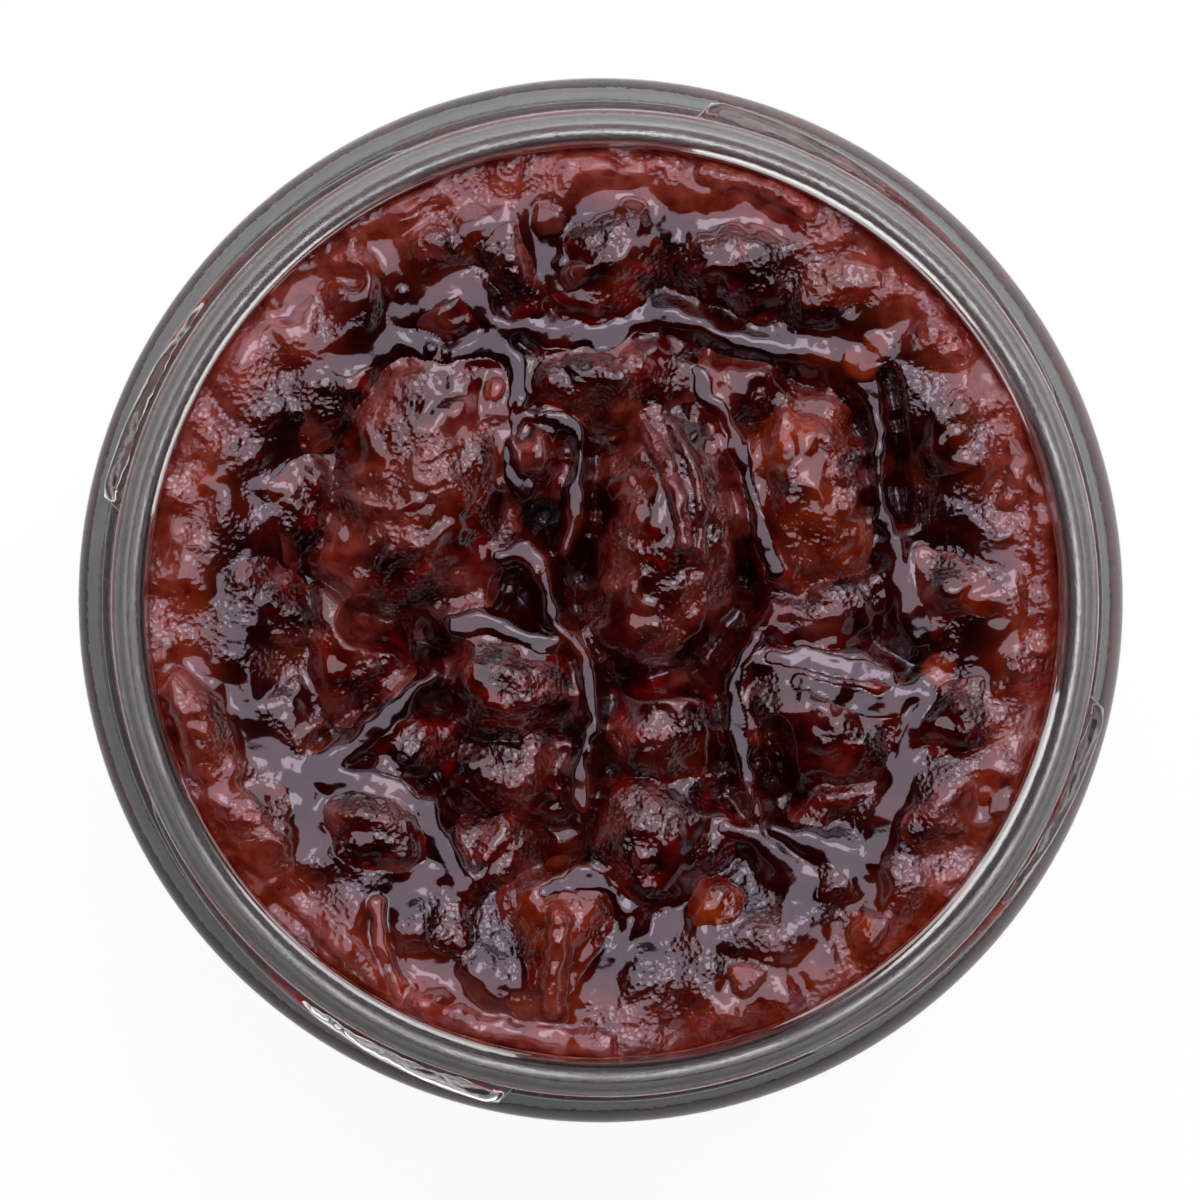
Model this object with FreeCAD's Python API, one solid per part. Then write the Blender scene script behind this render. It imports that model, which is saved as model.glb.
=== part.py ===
"""An open glass jar of chunky fruit chutney, in millimetres.

The jar stands on z = 0 with its axis on Z and its mouth up. It is a round food jar with a twist-off
finish: a rolled lip, a plain ring of glass with four sloping lugs for the cap, a bead below them, a
rounded shoulder and a straight body on a pushed-up base.

The chutney is a thick sauce with stewed fruit in it. The sauce fills the jar up to an uneven level.
Each piece of fruit that lies at the top is a solid of its own, sits in a socket of the sauce, and is
pressed against its neighbours and the glass.
"""

import FreeCAD, Part
import itertools
import math
import os
import random

from FreeCAD import Vector

# ---------------------------------------------------------------- driving dimensions, millimetres
JAR_HEIGHT = 80.0
BODY_DIAMETER = 72.4
BODY_WALL = 2.4
FINISH_DIAMETER = 66.4  # plain glass of the finish, without lugs or bead
BORE_DIAMETER = 61.8
BASE_THICKNESS = 4.0

BEAD_DROP = 8.8  # from the lip down to the middle of the bead
BEAD_RADIUS = 0.95
BEAD_PROUD = 1.1  # how far the bead stands out from the finish
NECK_DROP = 10.6  # from the lip down to where the shoulder begins
SHOULDER_RADIUS = 3.8
INNER_NECK_DROP = 9.8  # from the lip down to where the bore opens into the body
INNER_SHOULDER_HEIGHT = 6.0
HEEL_RADIUS = 5.0
INNER_HEEL_RADIUS = 4.8
STANDING_RING_WIDTH = 2.6
PUSH_UP = 2.0  # height of the hollow under the base

LUG_COUNT = 4
LUG_ARC = 52.0  # degrees of the finish that one lug covers, without its round ends
LUG_DROP = 4.3  # from the lip down to the middle of a lug
LUG_RADIUS = 1.05
LUG_PROUD = 1.5
LUG_SLOPE = 2.2  # degrees
LUG_LEAD_IN = 2.2  # degrees that a lug is turned into the glass about its full end
LUG_BEARING = 51.0  # degrees from +X to the middle of the first lug

HEADSPACE = 4.5  # free height between the lip and the highest piece of fruit
SAUCE_DROP = 8.1  # from the lip down to the sauce between the fruit
SAUCE_CLIMB = 1.3  # how much higher the sauce stands where it wets the glass
SAUCE_CLIMB_WIDTH = 4.0
SAUCE_SWELL = 0.5  # height of the slow waves in the sauce
SAUCE_GRID = 24  # spans of the sauce surface across the jar

# ---------------------------------------------------------------- fruit at the top
# name: place across the bore as shares of its radius (x, y), length, width, thickness,
# turn about Z in degrees, how far its top lies under the highest piece, bend of its long axis
FRUIT = {
    # the four large pieces in the middle
    "plum_left": (-0.41, 0.275, 17.0, 12.8, 10.1, 80, 0.0, 0.5),
    "plum_centre": (0.14, 0.16, 16.4, 7.8, 8.4, 78, 0.0, -0.8),
    "plum_right": (0.445, 0.245, 13.4, 5.7, 6.7, -84, 0.6, 0.4),
    "plum_lower_right": (0.49, -0.245, 10.9, 9.2, 8.4, -15, 0.3, 0.5),
    # the back row, from left to right
    "back_1": (-0.695, 0.61, 7.6, 4.9, 5.5, 45, 1.3, 0.4),
    "back_2": (-0.545, 0.735, 6.7, 5.2, 5.5, 60, 0.9, 0.3),
    "back_3": (-0.385, 0.78, 7.6, 5.9, 6.3, 10, 0.6, 0.3),
    "back_4": (-0.225, 0.75, 8.4, 5.2, 6.3, -45, 0.5, 0.8),
    "back_5": (0.01, 0.76, 8.2, 7.4, 7.6, 60, 0.3, 0.2),
    "back_6": (0.03, 0.935, 11.4, 4.2, 5.2, 0, 0.9, -0.7),
    "back_7": (0.30, 0.75, 8.8, 6.4, 7.1, -12, 0.4, 0.5),
    "back_8": (0.535, 0.705, 10.5, 6.2, 7.1, -22, 0.5, 0.7),
    "back_9": (0.745, 0.58, 7.4, 6.2, 6.7, -50, 0.6, 0.2),
    "back_10": (0.44, 0.86, 12.6, 4.0, 5.0, -26, 0.9, -0.5),
    "back_11": (-0.465, 0.835, 11.0, 3.6, 4.8, 29, 1.1, -0.4),
    "back_12": (-0.34, 0.655, 4.5, 4.3, 4.6, 0, 1.2, 0.1),
    # down the right side
    "right_1": (0.785, 0.375, 10.1, 6.7, 7.6, -78, 0.3, 0.5),
    "right_2": (0.80, 0.18, 5.2, 3.7, 4.6, 10, 1.6, 0.2),
    "right_3": (0.90, 0.30, 8.4, 4.2, 5.4, -74, 0.9, 0.3),
    "right_4": (0.81, 0.03, 7.7, 6.0, 6.7, 10, 0.5, 0.3),
    "right_5": (0.905, -0.15, 6.7, 4.5, 5.9, 75, 0.8, 0.3),
    "right_6": (0.79, -0.275, 9.0, 6.6, 7.6, 66, 0.3, 0.3),
    "right_7": (0.745, -0.45, 9.2, 7.6, 7.6, 55, 0.5, 0.3),
    "right_8": (0.655, 0.42, 8.6, 3.6, 4.6, -68, 1.5, 0.3),
    "right_9": (0.875, -0.40, 8.6, 4.0, 5.2, 66, 0.9, 0.3),
    # round the left side
    "left_1": (-0.80, 0.475, 6.0, 4.4, 5.0, 60, 1.4, 0.2),
    "left_2": (-0.845, 0.345, 6.7, 5.0, 5.9, 10, 1.0, 0.3),
    "left_3": (-0.88, 0.13, 9.2, 5.2, 6.3, 85, 1.2, 0.4),
    "left_4": (-0.61, 0.47, 9.2, 6.7, 6.7, 60, 1.2, 0.3),
    "left_5": (-0.68, 0.225, 7.6, 5.5, 5.9, 75, 1.6, 0.3),
    "left_6": (-0.735, 0.03, 8.4, 5.6, 5.8, -60, 1.3, 0.4),
    "left_7": (-0.585, -0.11, 10.5, 5.9, 6.3, -55, 1.7, 0.5),
    "left_8": (-0.70, -0.25, 8.1, 5.2, 5.9, -45, 1.7, 0.4),
    # the long piece along the glass at the lower left, torn in two
    "left_9": (-0.89, -0.255, 11.0, 5.8, 7.6, -57, 0.1, 0.6),
    "left_10": (-0.765, -0.45, 9.2, 7.2, 7.6, -45, 0.6, 0.3),
    # the middle
    "middle_1": (0.01, 0.50, 10.6, 5.5, 6.6, 0, 0.7, 0.5),
    "middle_2": (-0.135, 0.315, 4.7, 3.7, 4.4, -15, 1.5, 0.1),
    "middle_3": (0.29, 0.485, 6.4, 3.0, 3.8, -22, 1.5, 0.5),
    "middle_4": (-0.215, -0.19, 7.2, 6.0, 6.7, -20, 0.3, 0.2),
    "middle_5": (-0.215, -0.38, 7.6, 6.6, 6.3, 70, 1.8, 0.3),
    "middle_6": (-0.435, -0.315, 6.0, 4.9, 5.2, 20, 1.9, 0.2),
    "middle_7": (0.475, -0.02, 7.7, 4.7, 5.5, 0, 1.5, 0.4),
    "middle_8": (-0.245, -0.565, 6.2, 5.2, 5.4, 30, 2.0, 0.2),
    # the front
    "front_1": (-0.51, -0.50, 8.7, 6.9, 6.7, -25, 0.5, 0.3),
    "front_2": (-0.375, -0.72, 6.4, 4.7, 5.2, 5, 1.2, 0.2),
    "front_3": (-0.105, -0.76, 10.1, 6.4, 6.7, 84, 0.5, 0.4),
    "front_4": (0.125, -0.28, 8.4, 5.7, 6.7, 95, 0.6, -0.8),
    "front_5": (0.125, -0.525, 8.7, 7.9, 7.6, 60, 0.3, 0.2),
    "front_6": (0.25, -0.70, 4.4, 3.2, 4.0, 70, 1.4, 0.2),
    "front_7": (0.515, -0.43, 6.0, 4.4, 5.0, 10, 1.8, 0.3),
    "front_8": (0.51, -0.62, 6.2, 4.9, 5.4, 20, 1.3, 0.3),
    "front_9": (0.60, -0.73, 4.0, 3.5, 4.2, -30, 1.2, 0.1),
    "front_10": (0.74, -0.605, 5.8, 4.0, 4.6, 35, 1.1, 0.2),
    "front_11": (0.13, -0.87, 9.2, 4.2, 5.0, -3, 1.4, 0.3),
    "front_12": (0.275, -0.905, 6.6, 4.4, 4.8, -15, 1.0, 0.2),
    "front_13": (-0.42, -0.815, 13.0, 3.4, 4.6, -33, 1.6, -0.5),
    "front_14": (-0.25, -0.845, 4.6, 3.6, 4.2, 10, 1.5, 0.1),
}
FRUIT_GAP = 0.25  # film of sauce left between two pieces, and between a piece and the glass
FRUIT_WOBBLE = 0.11  # how uneven a piece is, as a share of its own size
FRUIT_RING_POLES = 10  # control points round a piece
FRUIT_RINGS = 8  # control rings of a piece from bottom to top, with one drawn into a point at each end
FRUIT_SWELL = 1.13  # how far the inner control points lie outside the surface that they pull
PRESS_BEARINGS = 36  # directions tried for the flat between two pieces that press on each other

# ---------------------------------------------------------------- worked out from the dimensions
body_r = BODY_DIAMETER / 2
finish_r = FINISH_DIAMETER / 2
bore_r = BORE_DIAMETER / 2
inner_r = body_r - BODY_WALL
lip_r = (finish_r - bore_r) / 2
neck_r = body_r - SHOULDER_RADIUS
ring_outer_r = body_r - HEEL_RADIUS
ring_inner_r = ring_outer_r - STANDING_RING_WIDTH
fruit_top = JAR_HEIGHT - HEADSPACE
sauce_level = JAR_HEIGHT - SAUCE_DROP


def point(radius, height):
    """A point of a profile in the XZ plane."""
    return Vector(radius, 0, height)


def line(start, end):
    return Part.LineSegment(start, end).toShape()


def arc(start, middle, end):
    return Part.Arc(start, middle, end).toShape()


def on_arc(centre, radius, degrees):
    a = math.radians(degrees)
    return Vector(centre.x + radius * math.cos(a), 0, centre.z + radius * math.sin(a))


def dome(foot, rise):
    """An arc from a foot point up to the axis, round a centre on the axis, so that it turns smooth."""
    radius = (foot.x**2 + rise**2) / (2 * rise)
    half_x = foot.x / 2
    half_z = foot.z + rise - radius + math.sqrt(radius**2 - half_x**2)
    return arc(foot, point(half_x, half_z), point(0, foot.z + rise))


def s_curve(start, end):
    """A smooth bend that leaves start and reaches end along Z."""
    reach = (end.z - start.z) * 0.5
    curve = Part.BezierCurve()
    curve.setPoles([start, start + Vector(0, 0, reach), end - Vector(0, 0, reach), end])
    return curve.toShape()


def turned(edges):
    """The solid that a closed profile in the XZ plane sweeps about Z."""
    face = Part.Face(Part.Wire(Part.sortEdges(edges)[0]))
    solid = face.revolve(Vector(0, 0, 0), Vector(0, 0, 1), 360)
    if solid.Volume < 0:
        solid.reverse()
    return solid


def inner_profile():
    """The inside of the jar from the middle of its floor up to the start of the lip."""
    neck = JAR_HEIGHT - INNER_NECK_DROP
    heel = point(inner_r - INNER_HEEL_RADIUS, BASE_THICKNESS + INNER_HEEL_RADIUS)
    foot = point(heel.x, BASE_THICKNESS)
    flank = point(inner_r, heel.z)
    shoulder = point(inner_r, neck - INNER_SHOULDER_HEIGHT)
    throat = point(bore_r, neck)
    return [
        dome(foot, PUSH_UP),
        arc(foot, on_arc(heel, INNER_HEEL_RADIUS, -45), flank),
        line(flank, shoulder),
        s_curve(shoulder, throat),
        line(throat, point(bore_r, JAR_HEIGHT - lip_r)),
    ]


def outer_profile():
    """The outside of the jar from the lip down to the middle of the base."""
    bead_z = JAR_HEIGHT - BEAD_DROP
    shoulder = point(neck_r, JAR_HEIGHT - NECK_DROP - SHOULDER_RADIUS)
    heel = point(ring_outer_r, HEEL_RADIUS)
    lip = point(finish_r - lip_r, JAR_HEIGHT - lip_r)
    above_bead = point(finish_r, bead_z + BEAD_RADIUS)
    below_bead = point(neck_r, bead_z - BEAD_RADIUS)
    return [
        arc(point(finish_r, lip.z), on_arc(lip, lip_r, 45), point(lip.x, JAR_HEIGHT)),
        arc(point(lip.x, JAR_HEIGHT), on_arc(lip, lip_r, 135), point(bore_r, lip.z)),
        line(point(finish_r, lip.z), above_bead),
        arc(above_bead, point(finish_r + BEAD_PROUD, bead_z), below_bead),
        line(below_bead, point(neck_r, shoulder.z + SHOULDER_RADIUS)),
        arc(
            point(neck_r, shoulder.z + SHOULDER_RADIUS),
            on_arc(shoulder, SHOULDER_RADIUS, 45),
            point(body_r, shoulder.z),
        ),
        line(point(body_r, shoulder.z), point(body_r, heel.z)),
        arc(point(body_r, heel.z), on_arc(heel, HEEL_RADIUS, -45), point(ring_outer_r, 0)),
        line(point(ring_outer_r, 0), point(ring_inner_r, 0)),
        dome(point(ring_inner_r, 0), PUSH_UP),
        line(point(0, PUSH_UP), point(0, BASE_THICKNESS + PUSH_UP)),
    ]


def lug(bearing):
    """One cap lug: a round rib with round ends, sloping like a thread and sunk at its start."""
    axis_r = finish_r + LUG_PROUD - LUG_RADIUS
    full_end = Vector(axis_r, 0, 0)
    section = Part.Face(Part.Wire(Part.makeCircle(LUG_RADIUS, full_end, Vector(0, 1, 0))))
    rib = section.revolve(Vector(0, 0, 0), Vector(0, 0, 1), -LUG_ARC)
    if rib.Volume < 0:
        rib.reverse()
    start = Part.makeSphere(LUG_RADIUS, full_end)
    start.rotate(Vector(0, 0, 0), Vector(0, 0, 1), -LUG_ARC)
    rib = rib.fuse([Part.makeSphere(LUG_RADIUS, full_end), start])
    rib.rotate(full_end, Vector(0, 0, 1), -LUG_LEAD_IN)
    rib.rotate(Vector(0, 0, 0), Vector(0, 0, 1), LUG_ARC / 2)
    rib.rotate(Vector(0, 0, 0), Vector(1, 0, 0), LUG_SLOPE)
    rib.rotate(Vector(0, 0, 0), Vector(0, 0, 1), bearing)
    rib.translate(Vector(0, 0, JAR_HEIGHT - LUG_DROP))
    return rib


def jar():
    glass = turned(inner_profile() + outer_profile())
    lugs = [lug(LUG_BEARING + 360.0 * i / LUG_COUNT) for i in range(LUG_COUNT)]
    return glass.fuse(lugs)


def inside():
    """The space inside the jar, from its floor up to the lip."""
    top = JAR_HEIGHT - lip_r
    closing = [
        line(point(bore_r, top), point(0, top)),
        line(point(0, top), point(0, BASE_THICKNESS + PUSH_UP)),
    ]
    return turned(inner_profile() + closing)


def sauce_height(x, y):
    """Height of the sauce: a level with slow waves, which climbs where it wets the glass."""
    to_glass = max(0.0, bore_r - math.hypot(x, y))
    climb = SAUCE_CLIMB * math.exp(-to_glass / SAUCE_CLIMB_WIDTH)
    across = x / bore_r
    along = y / bore_r
    waves = math.sin(7.1 * across + 2.3 * along + 0.4) * math.sin(6.2 * along - 1.7 * across + 1.1)
    waves += 0.5 * math.sin(12.7 * across - 3.1 * along) * math.sin(13.9 * along + 2.0 * across + 0.7)
    return sauce_level + climb + SAUCE_SWELL * waves


def below_sauce():
    """Everything under the surface of the sauce, as a block wider and deeper than the jar."""
    step = 2 * body_r / SAUCE_GRID
    places = [-body_r + step * i for i in range(SAUCE_GRID + 1)]
    surface = Part.BSplineSurface()
    surface.interpolate([[Vector(x, y, sauce_height(x, y)) for y in places] for x in places])
    return surface.toShape().extrude(Vector(0, 0, -JAR_HEIGHT))


def ring_angle(j):
    """Where control ring j acts, as an angle from the bottom of a piece (0) to its top (pi)."""
    spans = FRUIT_RINGS - 3
    knots = [0, 0, 0] + list(range(spans + 1)) + [spans, spans, spans]
    return math.pi * sum(knots[j + 1 : j + 4]) / 3 / spans


def egg_point(j, i):
    """Control point i of ring j of a round piece of radius 1, level next to its bottom and top."""
    angle = ring_angle(j)
    around = 2 * math.pi * i / FRUIT_RING_POLES
    level = j <= 1 or j >= FRUIT_RINGS - 2
    height = math.copysign(1, -math.cos(angle)) if level else -math.cos(angle) * FRUIT_SWELL
    girth = math.sin(angle) if level else math.sin(angle) * FRUIT_SWELL
    return Vector(girth * math.cos(around), girth * math.sin(around), height)


class Fruit:
    """One piece of fruit as it would be on its own: an uneven egg, bent, lying at its place."""

    def __init__(self, name):
        across, along, length, width, thickness, turn, drop, bend = FRUIT[name]
        self.half = Vector(length / 2, width / 2, thickness / 2)
        self.turn = math.radians(turn)
        self.centre = Vector(across * bore_r, along * bore_r, fruit_top - drop - thickness / 2)
        uneven = random.Random(name)
        self.rings = [
            [self.place(egg_point(j, i), bend, uneven) for i in range(FRUIT_RING_POLES)]
            for j in range(FRUIT_RINGS)
        ]

    def place(self, p, bend, uneven):
        """A control point of the round piece, made uneven, stretched, bent and turned."""
        reach = 1 + uneven.uniform(-FRUIT_WOBBLE, FRUIT_WOBBLE)
        x = p.x * reach
        y = p.y * reach + bend * 0.3 * (0.5 - x * x)
        x *= self.half.x
        y *= self.half.y
        cos, sin = math.cos(self.turn), math.sin(self.turn)
        return self.centre + Vector(x * cos - y * sin, x * sin + y * cos, p.z * self.half.z)

    def reach(self, bearing):
        """How far the piece reaches from its centre along a level bearing."""
        a = bearing - self.turn
        return math.hypot(self.half.x * math.cos(a), self.half.y * math.sin(a))

    def shrink(self, limit):
        """Draw each control point towards the centre until limit(point) allows it."""
        self.rings = [[drawn_in(p, self.centre, limit(p)) for p in ring] for ring in self.rings]

    def keep_behind(self, bearing, distance):
        """Flatten the piece against the upright plane at this distance from its centre."""
        normal = Vector(math.cos(bearing), math.sin(bearing), 0)

        def limit(p):
            ahead = (p - self.centre).dot(normal)
            return distance / ahead if ahead > distance else 1.0

        self.shrink(limit)

    def keep_inside(self, radius):
        """Flatten the piece against an upright cylinder about the jar's axis."""

        def limit(p):
            out = p - self.centre
            if math.hypot(p.x, p.y) <= radius:
                return 1.0
            square = out.x**2 + out.y**2
            half_cross = self.centre.x * out.x + self.centre.y * out.y
            rest = self.centre.x**2 + self.centre.y**2 - radius**2
            return (-half_cross + math.sqrt(half_cross**2 - square * rest)) / square

        self.shrink(limit)

    def solid(self):
        """The smooth closed solid that the control rings pull, drawn into a point at each end."""
        degree = 3
        spans = FRUIT_RINGS - degree
        surface = Part.BSplineSurface()
        surface.buildFromPolesMultsKnots(
            [[ring[i] for ring in self.rings] for i in range(FRUIT_RING_POLES)],
            [1] * (FRUIT_RING_POLES + 1),
            [degree + 1] + [1] * (spans - 1) + [degree + 1],
            list(range(FRUIT_RING_POLES + 1)),
            list(range(spans + 1)),
            True,
            False,
            degree,
            degree,
        )
        piece = Part.Solid(Part.Shell([surface.toShape()]))
        if piece.Volume < 0:
            piece.reverse()
        return piece


def drawn_in(p, centre, share):
    """The point at this share of the way out from the centre, with its height kept."""
    out = (p - centre) * share
    return Vector(centre.x + out.x, centre.y + out.y, p.z)


def press(first, second):
    """Flatten two pieces against the upright plane across which they overlap the least."""
    between = second.centre - first.centre
    best = None
    for i in range(PRESS_BEARINGS):
        bearing = 2 * math.pi * i / PRESS_BEARINGS
        distance = between.x * math.cos(bearing) + between.y * math.sin(bearing)
        near, far = first.reach(bearing), second.reach(bearing)
        overlap = near + far - distance
        if distance > 0 and (best is None or overlap < best[0]):
            best = (overlap, bearing, distance, near / (near + far))
    _, bearing, distance, share = best
    first.keep_behind(bearing, share * distance - FRUIT_GAP / 2)
    second.keep_behind(bearing + math.pi, (1 - share) * distance - FRUIT_GAP / 2)


def fruit_pieces():
    """Every piece of fruit, flattened where it presses on the glass or on a neighbour."""
    fruits = {name: Fruit(name) for name in FRUIT}
    for first, second in itertools.combinations(fruits.values(), 2):
        press(first, second)
    for piece in fruits.values():
        piece.keep_inside(bore_r - FRUIT_GAP)
    return {name: piece.solid() for name, piece in fruits.items()}


def main():
    os.makedirs("parts", exist_ok=True)
    pieces = fruit_pieces()
    sauce = inside().common(below_sauce()).cut(list(pieces.values()))
    made = {"jar": jar(), "sauce": sauce}
    made.update(pieces)
    for name, shape in made.items():
        shape.exportStep(f"parts/{name}.step")
        print(name, shape.isValid(), len(shape.Solids), round(shape.Volume, 1))


main()
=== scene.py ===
# %% [markdown]
# # An open jar of fruit chutney
# The real object is a clear glass jar with four cap lugs, filled nearly to its lip with a dark, sticky
# sauce in which stewed fruit lies. The construction model gives the jar, the sauce and every piece of
# fruit at true size. This file gives them their looks: smooth glass, wet pulpy fruit, and a glossy
# sauce that creeps up every piece. All shapes are worked out with numpy as functions on a grid.

import bpy
import numpy as np
from mathutils import Matrix, Vector


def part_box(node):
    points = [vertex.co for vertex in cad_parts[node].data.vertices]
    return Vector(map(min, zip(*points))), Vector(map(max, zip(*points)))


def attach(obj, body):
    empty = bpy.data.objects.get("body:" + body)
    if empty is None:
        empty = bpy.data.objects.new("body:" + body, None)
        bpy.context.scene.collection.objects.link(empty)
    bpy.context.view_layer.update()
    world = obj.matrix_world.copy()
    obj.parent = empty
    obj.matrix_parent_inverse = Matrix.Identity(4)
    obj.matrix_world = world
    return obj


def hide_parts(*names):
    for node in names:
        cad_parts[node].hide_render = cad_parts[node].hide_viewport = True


MM = 0.001
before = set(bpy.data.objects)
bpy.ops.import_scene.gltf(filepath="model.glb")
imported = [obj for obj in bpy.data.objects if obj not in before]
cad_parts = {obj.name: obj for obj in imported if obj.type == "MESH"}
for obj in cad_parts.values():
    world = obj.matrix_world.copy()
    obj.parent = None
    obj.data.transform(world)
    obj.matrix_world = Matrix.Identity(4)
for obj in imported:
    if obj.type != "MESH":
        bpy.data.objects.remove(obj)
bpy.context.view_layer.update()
jar_low, jar_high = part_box("jar")
JAR_HEIGHT = jar_high.z / MM
BODY_R = jar_high.x / MM
fruit_names = [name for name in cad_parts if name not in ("jar", "sauce")]
print(f"jar {2 * BODY_R:.1f} mm wide, {JAR_HEIGHT:.1f} mm high, with {len(fruit_names)} pieces of fruit")

# %% [markdown]
# ## Noise to break up smooth shapes
# Stewed fruit is pulpy: it has soft lumps, wrinkles and fine grain. Three kinds of noise make these.
# Gradient noise gives soft lumps at one size. Summed over sizes it gives pulp. Cell noise gives the
# round grains and seeds. They could be shader textures, but as numpy functions they move the real
# surface, so that the wet gloss breaks up on it as it does on fruit, in every program.

# %% Noise in space, on whole arrays of points
EDGES = np.array(
    [[x, y, z] for x in (-1, 0, 1) for y in (-1, 0, 1) for z in (-1, 0, 1) if abs(x) + abs(y) + abs(z) == 2],
    dtype=float,
)


def lattice_number(cell, seed):
    """An even whole number for each lattice cell: its coordinates times large primes, mixed by xor."""
    mixed = (cell[..., 0] * 73856093) ^ (cell[..., 1] * 19349663) ^ (cell[..., 2] * 83492791)
    mixed = (mixed ^ (seed * 668265263)) & 0xFFFFFFFF
    mixed = ((mixed ^ (mixed >> 15)) * 2246822519) & 0xFFFFFFFF
    mixed = ((mixed ^ (mixed >> 13)) * 3266489917) & 0xFFFFFFFF
    return mixed ^ (mixed >> 16)


def soft_noise(points, size, seed):
    """Gradient noise: at each corner of the cell that holds a point, a random edge direction dotted
    with the way from that corner, blended with 6t^5 - 15t^4 + 10t^3. About -1 to 1."""
    p = points / size
    cell = np.floor(p).astype(np.int64)
    f = p - cell
    t = f * f * f * (f * (f * 6 - 15) + 10)
    total = np.zeros(p.shape[:-1])
    for corner in np.ndindex(2, 2, 2):
        c = np.array(corner)
        slope = EDGES[lattice_number(cell + c, seed) % 12]
        weight = np.prod(np.where(c == 1, t, 1 - t), axis=-1)
        total += weight * np.sum(slope * (f - c), axis=-1)
    return total


def pulp_noise(points, size, seed, octaves=4, fade=0.5):
    """Soft noise summed over sizes that halve, each with fade times the height of the last."""
    total = np.zeros(points.shape[:-1])
    for octave in range(octaves):
        total += fade**octave * soft_noise(points, size / 2**octave, seed + 17 * octave)
    return total


def grain_noise(points, size, seed):
    """Cell noise: how far a point is from the nearest of one random spot a cell, in cells, 0 to 1."""
    p = points / size
    cell = np.floor(p).astype(np.int64)
    nearest = np.full(p.shape[:-1], 9.0)
    for step in np.ndindex(3, 3, 3):
        other = cell + np.array(step) - 1
        number = lattice_number(other, seed)
        spot = np.stack([number & 1023, (number >> 10) & 1023, (number >> 20) & 1023], axis=-1) / 1023
        nearest = np.minimum(nearest, np.sum((other + spot - p) ** 2, axis=-1))
    return np.sqrt(nearest)


def smooth_step(low, high, value):
    """0 below low, 1 above high, and 3t^2 - 2t^3 between."""
    t = np.clip((value - low) / (high - low), 0, 1)
    return t * t * (3 - 2 * t)


def smooth_max(a, b, width):
    """The larger of two heights, rounded where they cross: width * log(exp(a/width) + exp(b/width))."""
    return np.maximum(a, b) + width * np.log1p(np.exp(-np.abs(a - b) / width))


# %% [markdown]
# ## Turning grids into meshes
# A surface that is a function of two parameters is a table of points, rows by columns. Neighbours in
# the table make its faces. One helper builds every mesh here, so that seams and poles are closed and
# all faces point outwards.

# %% Mesh helpers
def grid_faces(rows, columns, first=0, wrap=False):
    """The four corners of each face of a table of points, with the last column joined to the first
    one if wrap is true."""
    index = first + np.arange(rows * columns).reshape(rows, columns)
    if wrap:
        index = np.concatenate([index, index[:, :1]], axis=1)
    corners = (index[:-1, :-1], index[:-1, 1:], index[1:, 1:], index[1:, :-1])
    return np.stack([c.ravel() for c in corners], axis=1)


def ring_faces(index):
    """The faces between closed rings of point numbers, one ring in each row of index."""
    index = np.concatenate([index, index[:, :1]], axis=1)
    corners = (index[:-1, :-1], index[1:, :-1], index[1:, 1:], index[:-1, 1:])
    return np.stack([c.ravel() for c in corners], axis=1)


def fan_faces(ring, tip):
    """Triangles from a closed ring of point numbers to one tip."""
    return np.stack([ring, np.roll(ring, -1), np.full(len(ring), tip)], axis=1)


def make_piece(name, points_mm, face_tables, material, replaced):
    """An object of these points, given in mm, and faces, riding on the jar in place of CAD nodes."""
    mesh = bpy.data.meshes.new(name)
    faces = [face for table in face_tables for face in table.tolist()]
    mesh.from_pydata((points_mm * MM).tolist(), [], faces)
    mesh.polygons.foreach_set("use_smooth", np.ones(len(mesh.polygons), dtype=bool))
    mesh.materials.append(material)
    mesh.update()
    piece = bpy.data.objects.new(name, mesh)
    bpy.context.collection.objects.link(piece)
    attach(piece, "root")
    if replaced:
        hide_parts(*replaced)
    return piece


def paint(piece, attribute, values):
    """Stores one number for each point of the piece, for its material to read."""
    layer = piece.data.attributes.new(attribute, "FLOAT", "POINT")
    layer.data.foreach_set("value", np.asarray(values, dtype=np.float32).ravel())


# %% [markdown]
# ## Building materials from code
# A material is a small graph of nodes. These helpers add nodes and join them in one line each, so that
# a recipe reads like its sentence.

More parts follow.
